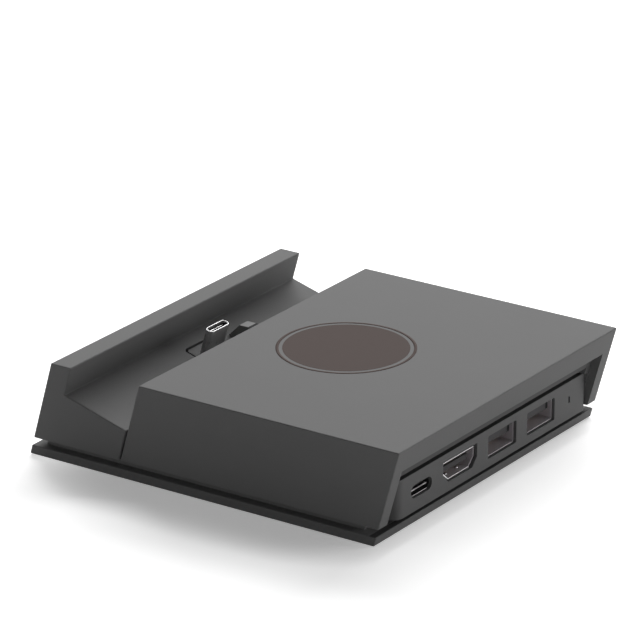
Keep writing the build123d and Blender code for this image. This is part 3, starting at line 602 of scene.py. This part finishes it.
def screw_shank(tree, given):
    """The threaded shank, rooted in the head and tapered at its tip."""
    root = reckon(tree, "MULTIPLY", given["Head Height"], SCREW_ROOT)
    whole = reckon(tree, "ADD", given["Shank"], root)
    size = {"Vertices": SHANK_SIDES, "Side Segments": SHANK_RINGS}
    size.update({"Radius": given["Shank Radius"], "Depth": whole})
    bar = add_node(tree, "GeometryNodeMeshCylinder", size).outputs[0]
    centre = reckon(tree, "SUBTRACT", reckon(tree, "MULTIPLY", whole, 0.5), root)
    bar = moved(tree, bar, z=centre)
    place = tree.nodes.new("GeometryNodeInputPosition").outputs[0]
    axes = add_node(tree, "ShaderNodeSeparateXYZ", {0: place}).outputs
    turn = reckon(tree, "DIVIDE", reckon(tree, "ARCTAN2", axes[1], axes[0]), tau)
    climb = reckon(tree, "ADD", reckon(tree, "DIVIDE", axes[2], given["Pitch"]), turn)
    wave = reckon(tree, "MULTIPLY", reckon(tree, "PINGPONG", climb, 0.5), 2.0)
    cut = reckon(tree, "DIVIDE", given["Thread"], given["Shank Radius"])
    thread = reckon(tree, "SUBTRACT", 1.0, reckon(tree, "MULTIPLY", wave, cut))
    left = reckon(tree, "DIVIDE", reckon(tree, "SUBTRACT", given["Shank"], axes[2]), given["Tip"])
    taper_range = {"Value": left, "From Min": 0.0, "From Max": 1.0, "To Min": SCREW_POINT, "To Max": 1.0}
    taper = add_node(tree, "ShaderNodeMapRange", taper_range).outputs[0]
    scale = reckon(tree, "MULTIPLY", thread, taper)
    x = reckon(tree, "MULTIPLY", axes[0], scale)
    y = reckon(tree, "MULTIPLY", axes[1], scale)
    point = add_node(tree, "ShaderNodeCombineXYZ", {0: x, 1: y, 2: axes[2]}).outputs[0]
    return add_node(tree, "GeometryNodeSetPosition", {"Geometry": bar, "Position": point}).outputs[0]


def screw_tree():
    """Geometry nodes: pan-head screws with a cross recess and a thread, one on every spot."""
    inputs = {"Spots": "Geometry", "Head Radius": "Float", "Head Height": "Float", "Dome": "Float"}
    inputs.update({"Cross Length": "Float", "Cross Width": "Float", "Cross Depth": "Float"})
    inputs.update({"Shank Radius": "Float", "Shank": "Float", "Pitch": "Float", "Thread": "Float"})
    inputs.update({"Tip": "Float", "Steel": "Material"})
    tree, given, made = new_tree("Pan head screws", "GeometryNodeTree", inputs, {"Screws": "Geometry"})
    joined = add_node(tree, "GeometryNodeMeshBoolean", {}, operation="UNION", solver="EXACT")
    tree.links.new(screw_head(tree, given), joined.inputs["Mesh 2"])
    tree.links.new(screw_shank(tree, given), joined.inputs["Mesh 2"])
    deep = reckon(tree, "MULTIPLY", given["Cross Depth"], 2.0)
    cut = add_node(tree, "GeometryNodeMeshBoolean", {0: joined.outputs[0]}, solver="EXACT")
    arms = ((given["Cross Length"], given["Cross Width"]), (given["Cross Width"], given["Cross Length"]))
    for wide, long in arms:
        size = add_node(tree, "ShaderNodeCombineXYZ", {0: wide, 1: long, 2: deep}).outputs[0]
        arm = add_node(tree, "GeometryNodeMeshCube", {"Size": size}).outputs[0]
        face = reckon(tree, "MULTIPLY", given["Head Height"], -1.0)
        tree.links.new(moved(tree, arm, z=face), cut.inputs["Mesh 2"])
    end_on_spots(tree, given["Spots"], cut.outputs[0], given["Steel"], made["Screws"])
    return tree


def corners(node):
    """The corner points of a node's mesh."""
    return [corner.co for corner in frame["nodes"][node].data.vertices]


def loose_solids(name):
    """The separate solids of one node, each as the list of its corner points."""
    welded = bmesh.new()
    welded.from_mesh(frame["nodes"][name].data)
    bmesh.ops.remove_doubles(welded, verts=welded.verts, dist=WELD)
    waiting = set(welded.verts)
    solids = []
    while waiting:
        reached = [waiting.pop()]
        for vertex in reached:
            near = [edge.other_vert(vertex) for edge in vertex.link_edges]
            fresh = [other for other in near if other in waiting]
            waiting.difference_update(fresh)
            reached.extend(fresh)
        solids.append([vertex.co.copy() for vertex in reached])
    welded.free()
    return solids


def box_of(points):
    """The lowest and highest corner of some points."""
    low = Vector([min(axis) for axis in zip(*points)])
    high = Vector([max(axis) for axis in zip(*points)])
    return low, high


class DOCK_OT_finish_shells(bpy.types.Operator):
    """Give the cover, cradle, plate and core their moulded finish"""

    bl_idname = "dock.finish_shells"
    bl_label = "Finish Shells"

    def execute(self, context):
        finish = context.scene.dock_finish
        thin = finish.grain / 4
        etched = {"roughness": 0.70, "sheen": finish.sheen}
        # Painted shade on the recess wall over the sockets, set back from the rear face by the recess depth
        rear = max(point.dot(REARWARD) for point in corners("top_cover"))
        wall = FlatPatch(REARWARD, rear - finish.recess_deep, finish.grain, finish.recess)
        coat(moulded_plastic("Cover plastic", finish.body, **etched, patches=[wall]), "top_cover")
        low, high = self.rib_top(thin)
        floor = FlatPatch(UP, UP.dot(Vector(SLOT["pos_m"])), thin, finish.body, finish.slot_tone)
        # Painted light on the rib beside the plug: its top and near side are paler grey than the body
        rib = [FlatPatch(LEVEL, high.z, thin, finish.rib), FlatPatch(ENDWARD, high.x, thin, finish.rib)]
        coat(moulded_plastic("Cradle plastic", finish.body, **etched, patches=[floor, *rib]), "front_cradle")
        coat(moulded_plastic("Carrier plastic", finish.body, **etched), "plug_carrier")
        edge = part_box("base_plate")[1].x - EDGE_STRIP
        top = max(point.z for point in corners("base_plate") if point.x > edge)
        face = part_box("core_housing")[1]
        # Painted shade in the slits over and under the core: the plate's top under it and the core's top are
        # dark grey
        under = FlatPatch(LEVEL, top, thin, finish.crevice_shade, start=face.y - EDGE_STRIP)
        coat(moulded_plastic("Plate plastic", finish.plate, **etched, patches=[under]), "base_plate")
        over = FlatPatch(LEVEL, face.z, thin, finish.crevice_shade)
        smoother = {"roughness": 0.66, "sheen": finish.sheen}
        core = moulded_plastic("Core plastic", finish.core, **smoother, patches=[over])
        coat(core, "core_housing", "core_lid")
        self.shade_rib(finish, low, high)
        return {"FINISHED"}

    def rib_top(self, thin):
        """The box of the flat top of the rib beside the plug."""
        behind = [point for point in corners("front_cradle") if point.y > SLOT["pos_m"][1]]
        top = max(point.z for point in behind)
        return box_of([point for point in behind if point.z > top - thin])

    def shade_rib(self, finish, low, high):
        """A black film on the rib's top, painted as the shadow between the rib beside the plug and the
        cover's wall behind it.
        """
        long = (high.y - low.y) * finish.rib_dark
        spot = ((low.x + high.x) / 2, high.y - long / 2, high.z)
        black = moulded_plastic("Shadow black", finish.resin, roughness=0.80, sheen=finish.sheen)
        values = {"Size": (high.x - low.x, long, finish.grain_depth), "Metal": black}
        grown("rib_shadow", [spot], shared_group("Bars", bar_tree), values)


class DOCK_OT_print_roundel(bpy.types.Operator):
    """Print the plain disc and ring on the cover"""

    bl_idname = "dock.print_roundel"
    bl_label = "Print Roundel"

    def execute(self, context):
        finish = context.scene.dock_finish
        mark = context.scene.dock_roundel
        ink = moulded_plastic("Brown ink", finish.ink, roughness=0.70, sheen=finish.sheen, tone=0.04)
        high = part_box("top_cover")[1].z
        front = min(point.y for point in corners("top_cover") if point.z > high - mark.line)
        spot = (0.0, front + mark.set_back, high + mark.film / 2)
        values = {"Disc": mark.disc, "Ring": mark.ring, "Line": mark.line, "Film": mark.film}
        values.update({"Facets": mark.facets, "Ink": ink})
        grown("roundel_print", [spot], roundel_tree(), values)
        return {"FINISHED"}


class DOCK_OT_finish_plug(bpy.types.Operator):
    """Finish the plug that stands in the slot"""

    bl_idname = "dock.finish_plug"
    bl_label = "Finish Plug"

    def execute(self, context):
        finish = context.scene.dock_finish
        shell = plated_metal("Plug nickel", finish.plug, roughness=0.30, stretch=ALONG_Z, metal=0.3)
        gold = plated_metal("Plug gold", finish.gold, roughness=0.28, stretch=SHORT_Z)
        resin = moulded_plastic("Plug resin", finish.resin, roughness=0.60, sheen=finish.sheen)
        coat(shell, "plug_shell")
        coat(gold, "plug_contacts")
        coat(resin, "plug_insert")
        coat(circuit_board("Plug card", finish.mask, finish.trace), "plug_card")
        springs = plated_metal("Plug springs", finish.polish, roughness=0.28, stretch=ALONG_X)
        self.bend_tips(context.scene.dock_plug, springs)
        return {"FINISHED"}

    def bend_tips(self, detail, metal):
        """The bent tips of the contact springs, in a row inside the plug's mouth."""
        shell = corners("plug_shell")
        high = max(point.dot(UP) for point in shell) - detail.tip_deep
        backs = [point.dot(REARWARD) for point in shell]
        back = (min(backs) + max(backs)) / 2 - detail.tip_set
        near, far = box_of(shell)
        middle = (near.x + far.x) / 2
        row = UP * high + REARWARD * back
        spots = [(middle + side * detail.tip_row / 2, row.y, row.z) for side in (-1, 1)]
        values = {"Radius": detail.tip, "Sides": detail.tip_sides, "Metal": metal}
        tree = shared_group("Rolled lips", lip_tree)
        grown("plug_spring_tips", spots, tree, values, [(0, 1)])


class DOCK_OT_finish_sockets(bpy.types.Operator):
    """Finish the four sockets in the core's face"""

    bl_idname = "dock.finish_sockets"
    bl_label = "Finish Sockets"

    def execute(self, context):
        finish = context.scene.dock_finish
        detail = context.scene.dock_sockets
        shell = plated_metal("Socket shell", finish.shell, roughness=0.55, stretch=ALONG_Y, metal=0.1)
        gold = plated_metal("Socket gold", finish.gold, roughness=0.30, stretch=SHORT_Y)
        grey = moulded_plastic("Socket grey", finish.tongue, roughness=0.60, sheen=finish.sheen)
        resin = moulded_plastic("Socket resin", finish.resin, roughness=0.60, sheen=finish.sheen)
        for port in PORTS:
            dark = port == "power_port"
            coat(resin if dark else shell, f"{port}_shell")
            coat(gold, f"{port}_contacts")
            coat(resin if dark else grey, f"{port}_tongue")
        # Three tones of one nickel plating: painted glint, painted light and painted shade on the lips,
        # springs and bare edge
        polish = plated_metal("Polished nickel", finish.polish, roughness=0.30, stretch=ALONG_Y)
        bright = plated_metal("Bright nickel", finish.nickel, roughness=0.30, stretch=ALONG_X)
        dull = plated_metal("Dull nickel", finish.dull, roughness=0.30, stretch=ALONG_X)
        video = ("video_port",)
        others = [port for port in PORTS if port not in video]
        self.roll_lips("video_lips", video, detail.lip, bright, self.is_level)
        self.roll_lips("video_corner", video, detail.corner, polish, self.is_near_corner)
        self.roll_lips("socket_lips", others, detail.lip, dull, self.is_lower)
        self.press_springs(detail, bright)
        self.bare_edge(detail, bright, dull)
        self.shade_tongues(detail, resin)
        return {"FINISHED"}

    def is_level(self, inward):
        """Whether an edge lies level, over or under the opening."""
        return abs(inward.y) > MOSTLY

    def is_near_corner(self, inward):
        """Whether an edge is the cut lower corner towards the power socket."""
        return inward.y > PARTLY and inward.x < -PARTLY

    def is_lower(self, inward):
        """Whether an edge is the lower one, with the rounding beside it."""
        return inward.y > HALFWAY and inward.x < PARTLY

    def roll_lips(self, name, ports, radius, metal, wanted):
        """The rounded lips of some shells, on the edges whose inward side is wanted."""
        sides = bpy.context.scene.dock_sockets.lip_sides
        spots = []
        lines = []
        for port in ports:
            points = corners(f"{port}_shell")
            front = max(point.y for point in points)
            ends = [point for point in points if point.y > front - radius / 10]
            flat = [Vector((point.x, point.z)) for point in ends]
            outline = [flat[place] for place in convex_hull_2d(flat)]
            low, high = box_of(outline)
            centre = (low + high) / 2
            shrink = [1 - 2 * radius / span for span in high - low]
            for start, end in zip(outline, outline[1:] + outline[:1]):
                inward = centre - (start + end) / 2
                square = (end - start).orthogonal().normalized()
                square *= 1 if square.dot(inward) > 0 else -1
                if wanted(square):
                    lines.append((len(spots), len(spots) + 1))
                    for point in (start, end):
                        x, z = [m + (p - m) * s for m, p, s in zip(centre, point, shrink)]
                        spots.append((x, front, z))
        values = {"Radius": radius, "Sides": sides, "Metal": metal}
        grown(name, spots, shared_group("Rolled lips", lip_tree), values, lines)

    def press_springs(self, detail, metal):
        """The two dimpled springs in the floor of the video shell."""
        low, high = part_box("video_port_shell")
        middle = (low.x + high.x) / 2
        place = (high.y - detail.spring_deep, low.z + 2 * detail.lip - detail.spring_sink)
        spots = [(middle + side * detail.spring_apart / 2, *place) for side in (-1, 1)]
        values = {"Radius": detail.spring_round, "Metal": metal}
        grown("video_springs", spots, spring_tree(), values)

    def bare_edge(self, detail, bright, dull):
        """The bare metal edge that stands out of the power socket's tongue, its two ends in lighter nickel as
        a painted glint.
        """
        x, _, z = MOUNTS["power_socket"]["pos_m"]
        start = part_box("power_port_tongue")[1].y
        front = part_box("power_port_shell")[1].y
        middle = (x, (start + front) / 2, z)
        out = (detail.edge_wide - detail.edge_end) / 2
        ends = [(x + side * out, *middle[1:]) for side in (-1, 1)]
        tree = shared_group("Bars", bar_tree)
        span = detail.edge_wide - 2 * detail.edge_end
        bars = (("edge_middle", [middle], span, dull), ("edge_ends", ends, detail.edge_end, bright))
        for name, spots, wide, metal in bars:
            size = (wide, front - start, detail.edge_thick)
            grown(f"power_{name}", spots, tree, {"Size": size, "Metal": metal})

    def shade_tongues(self, detail, resin):
        """Black bars painted as the shade in the slits between a data socket's tongue and the sides of its
        shell.
        """
        tree = shared_group("Bars", bar_tree)
        for port in ("usb_port_near", "usb_port_far"):
            points = corners(f"{port}_tongue")
            front = max(point.y for point in points)
            low, high = box_of([point for point in points if point.y > front - detail.lip])
            near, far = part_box(f"{port}_shell")
            wide = (low.x - near.x) - 2 * detail.lip
            y = front - detail.lip
            z = (low.z + high.z) / 2
            spots = [(low.x - wide / 2, y, z), (high.x + wide / 2, y, z)]
            size = (wide, detail.lip, high.z - low.z)
            grown(f"{port}_slits", spots, tree, {"Size": size, "Metal": resin})


class DOCK_OT_finish_board(bpy.types.Operator):
    """Finish the circuit board, what stands on it, its lead and the status light"""

    bl_idname = "dock.finish_board"
    bl_label = "Finish Board"

    def execute(self, context):
        finish = context.scene.dock_finish
        resin = moulded_plastic("Chip resin", finish.resin, roughness=0.6, sheen=0.4)
        coat(circuit_board("Main board", finish.mask, finish.trace), "main_board")
        coat(resin, "video_chip", "hub_chip", "power_chip", "lead_socket")
        ferrite = moulded_plastic("Ferrite", finish.ferrite, roughness=0.7, sheen=0.3, coarse=2.0)
        coat(ferrite, "power_coils")
        tin = plated_metal("Can aluminium", finish.tin, roughness=0.35, stretch=SHORT_Z)
        coat(tin, "can_capacitors", "timing_crystal")
        sheath = moulded_plastic("Lead sheath", finish.sheath, roughness=0.6, sheen=0.4)
        coat(sheath, "plug_lead")
        lens = moulded_plastic("Light lens", finish.lens, roughness=0.3, sheen=0.5, tone=0.1)
        coat(lens, "status_light_pipe", "status_light_chip")
        return {"FINISHED"}


class DOCK_OT_set_screws(bpy.types.Operator):
    """Grow the threaded screws in place of their plain solids"""

    bl_idname = "dock.set_screws"
    bl_label = "Set Screws"

    def execute(self, context):
        finish = context.scene.dock_finish
        detail = context.scene.dock_screws
        steel = plated_metal("Screw steel", finish.steel, roughness=0.38, stretch=TURNED)
        coat(steel, "carrier_screws")
        tree = screw_tree()
        for node in ("base_screws", "core_screws"):
            solids = loose_solids(node)
            lengths = sorted({self.length(points) for points in solids})
            for place, length in enumerate(lengths):
                alike = [points for points in solids if self.length(points) == length]
                self.grow(tree, f"{node}_{place + 1}", node, alike, detail, steel)
        return {"FINISHED"}

    def length(self, points):
        """A screw's whole length, to the nearest hundredth of a millimetre."""
        low, high = box_of(points)
        return round((high.z - low.z) / MM, 2)

    def grow(self, tree, name, node, alike, detail, steel):
        """The screws of one length, measured from the solids that they stand for."""
        boxes = [box_of(points) for points in alike]
        points = alike[0]
        low, high = boxes[0]
        radius = (high.x - low.x) / 2
        centre = (low + high) / 2
        tip_radius = max((point - centre).xy.length for point in points if point.z > high.z - detail.thread)
        seat = max(point.z for point in points if (point - centre).xy.length > radius - detail.thread)
        head = seat - low.z
        values = {"Head Radius": radius, "Head Height": head, "Dome": detail.dome, "Steel": steel}
        values.update({"Cross Length": 2 * radius * detail.cross_long, "Cross Width": detail.cross_wide})
        values.update({"Cross Depth": head * detail.cross_deep, "Shank Radius": tip_radius})
        values.update({"Shank": high.z - seat, "Pitch": detail.pitch, "Thread": detail.thread})
        values["Tip"] = detail.tip
        spots = [(*((least + most) / 2).xy, seat) for least, most in boxes]
        piece = grown(name, spots, tree, values)
        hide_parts(node)


class DOCK_OT_finish_feet(bpy.types.Operator):
    """Give the foot pads their rubber"""

    bl_idname = "dock.finish_feet"
    bl_label = "Finish Feet"

    def execute(self, context):
        finish = context.scene.dock_finish
        soft = {"roughness": 0.8, "sheen": 0.25, "tone": 0.15, "coarse": 2.5}
        coat(moulded_plastic("Foot rubber", finish.rubber, **soft), "foot_pads")
        return {"FINISHED"}


def soft_lamp(stage, name):
    """A softbox that faces the dock, placed by the stage's values of that name."""
    turn = getattr(stage, name + "_turn")
    rise = getattr(stage, name + "_rise")
    lamp = bpy.data.lights.new(name + "_softbox", "AREA")
    lamp.shape = "RECTANGLE"
    lamp.size = getattr(stage, name + "_wide")
    lamp.size_y = stage.lamp_high
    lamp.energy = getattr(stage, name + "_watts")
    holder = bpy.data.objects.new(name + "_softbox", lamp)
    holder.location = Vector((cos(rise) * cos(turn), cos(rise) * sin(turn), sin(rise))) * stage.lamp_away
    holder.rotation_euler = (-holder.location).to_track_quat("-Z", "Y").to_euler()
    bpy.context.scene.collection.objects.link(holder)


def seen_plainly(tree):
    """One where a ray comes from the camera, a mirror or glass, nought elsewhere."""
    path = tree.nodes.new("ShaderNodeLightPath").outputs
    shiny = reckon(tree, "MAXIMUM", path["Is Glossy Ray"], path["Is Transmission Ray"])
    return reckon(tree, "MAXIMUM", path["Is Camera Ray"], shiny)


def studio_world(ambient):
    """White where it is seen, and a faint even light elsewhere."""
    world = bpy.data.worlds.new("Studio")
    world.use_nodes = True
    tree = world.node_tree
    tree.nodes.clear()
    seen = seen_plainly(tree)
    strength = add_node(tree, "ShaderNodeMapRange", {"Value": seen, "To Min": ambient, "To Max": 1.0})
    sky = add_node(tree, "ShaderNodeBackground", {"Strength": strength.outputs[0]})
    sky.inputs["Color"].default_value = (1.0, 1.0, 1.0, 1.0)
    end = tree.nodes.new("ShaderNodeOutputWorld")
    tree.links.new(sky.outputs[0], end.inputs["Surface"])
    bpy.context.scene.world = world


def floor_shade(tree, coords, stage):
    """The white added to the floor, with a painted shadow: little right by the dock, more in the open."""
    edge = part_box("base_plate")[1]
    axes = add_node(tree, "ShaderNodeSeparateXYZ", {0: coords}).outputs
    out = reckon(tree, "MAXIMUM", reckon(tree, "SUBTRACT", reckon(tree, "ABSOLUTE", axes[0]), edge.x), 0.0)
    across = reckon(tree, "POWER", reckon(tree, "DIVIDE", out, stage.shade_side), SHADE_ACROSS)
    back = reckon(tree, "ABSOLUTE", reckon(tree, "SUBTRACT", axes[1], stage.shade_back))
    along = reckon(tree, "POWER", reckon(tree, "DIVIDE", back, stage.shade_long), SHADE_ALONG)
    oval = {"Value": reckon(tree, "ADD", across, along), "From Min": SHADE_CORE, "From Max": 1.0}
    side = add_node(tree, "ShaderNodeMapRange", oval, interpolation_type="SMOOTHSTEP").outputs[0]
    strip = {"Value": reckon(tree, "ABSOLUTE", axes[1]), "From Min": edge.y}
    strip["From Max"] = edge.y + stage.shade_rear
    rear = add_node(tree, "ShaderNodeMapRange", strip).outputs[0]
    white = {"Value": reckon(tree, "MAXIMUM", side, rear), "To Min": stage.shade, "To Max": stage.lift}
    return add_node(tree, "ShaderNodeMapRange", white).outputs[0]


def floor_paper(stage):
    """Pale paper: lifted to white where it is seen, less right by the dock as a painted shadow, with the cast
    shadows kept, and clear from below.
    """
    material, tree, shader, coords = bare_material("Floor paper")
    shader.inputs["Roughness"].default_value = 1.0
    shader.inputs["Specular IOR Level"].default_value = 0.0
    shader.inputs["Emission Color"].default_value = (1.0, 1.0, 1.0, 1.0)
    seen = seen_plainly(tree)
    lifted = reckon(tree, "MULTIPLY", seen, floor_shade(tree, coords, stage))
    tree.links.new(lifted, shader.inputs["Emission Strength"])
    colour = mixed_colour(tree, seen, (*stage.bounce, 1.0), (*stage.floor, 1.0))
    tree.links.new(colour, shader.inputs["Base Color"])
    behind = tree.nodes.new("ShaderNodeNewGeometry").outputs["Backfacing"]
    clear = tree.nodes.new("ShaderNodeBsdfTransparent")
    both = add_node(tree, "ShaderNodeMixShader", {0: behind, 1: shader.outputs[0], 2: clear.outputs[0]})
    tree.links.new(both.outputs[0], tree.nodes["Material Output"].inputs["Surface"])
    return material


class DOCK_OT_build_stage(bpy.types.Operator):
    """Set up the floor, the lamps and the camera"""

    bl_idname = "dock.build_stage"
    bl_label = "Build Stage"

    def execute(self, context):
        scene = context.scene
        stage = scene.dock_stage
        scene.view_settings.view_transform = "Standard"
        studio_world(stage.ambient)
        half = stage.floor_size / 2
        sheet = bpy.data.meshes.new("studio_floor")
        square = [(-half, -half, 0.0), (half, -half, 0.0), (half, half, 0.0), (-half, half, 0.0)]
        sheet.from_pydata(square, [], [(0, 1, 2, 3)])
        sheet.materials.append(floor_paper(stage))
        floor = bpy.data.objects.new("studio_floor", sheet)
        scene.collection.objects.link(floor)
        for name in ("main", "rear", "near", "front"):
            soft_lamp(stage, name)
        camera = bpy.data.cameras.new("Photo camera")
        camera.lens = stage.lens
        holder = bpy.data.objects.new("Photo camera", camera)
        holder.location = stage.eye
        holder.rotation_euler = (radians(90) - stage.elevation, 0.0, stage.azimuth)
        scene.collection.objects.link(holder)
        scene.camera = holder
        return {"FINISHED"}


class DOCK_PT_finish(bpy.types.Panel):
    """Sidebar panel with every step of the dock's finish"""

    bl_idname = "DOCK_PT_finish"
    bl_label = "Console Dock"
    bl_space_type = "VIEW_3D"
    bl_region_type = "UI"
    bl_category = "Dock"

    def draw(self, context):
        """Lists the steps, and below them the settings."""
        for operator in OPERATORS:
            self.layout.operator(operator.bl_idname)
        for group in PROPERTIES:
            settings = getattr(context.scene, group)
            for name in settings.bl_rna.properties.keys():
                if name not in {"rna_type", "name"}:
                    self.layout.prop(settings, name)


PROPERTIES = {
    "dock_finish": DockFinish,
    "dock_sockets": DockSockets,
    "dock_plug": DockPlug,
    "dock_roundel": DockRoundel,
    "dock_screws": DockScrews,
    "dock_stage": DockStage,
}
OPERATORS = (
    DOCK_OT_finish_shells,
    DOCK_OT_print_roundel,
    DOCK_OT_finish_plug,
    DOCK_OT_finish_sockets,
    DOCK_OT_finish_board,
    DOCK_OT_set_screws,
    DOCK_OT_finish_feet,
    DOCK_OT_build_stage,
)


def register():
    """Makes the classes and the settings known."""
    for made in (*PROPERTIES.values(), *OPERATORS, DOCK_PT_finish):
        bpy.utils.register_class(made)
    for name, group in PROPERTIES.items():
        setattr(bpy.types.Scene, name, PointerProperty(type=group))


def unregister():
    """Takes the settings and the classes away again."""
    for name in PROPERTIES:
        delattr(bpy.types.Scene, name)
    for made in reversed((*PROPERTIES.values(), *OPERATORS, DOCK_PT_finish)):
        bpy.utils.unregister_class(made)


def main():
    """Registers the add-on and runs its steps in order."""
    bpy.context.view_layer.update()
    register()
    bpy.ops.dock.finish_shells()
    bpy.ops.dock.print_roundel()
    bpy.ops.dock.finish_plug()
    bpy.ops.dock.finish_sockets()
    bpy.ops.dock.finish_board()
    bpy.ops.dock.set_screws()
    bpy.ops.dock.finish_feet()
    bpy.ops.dock.build_stage()


if __name__ == "__main__":
    main()
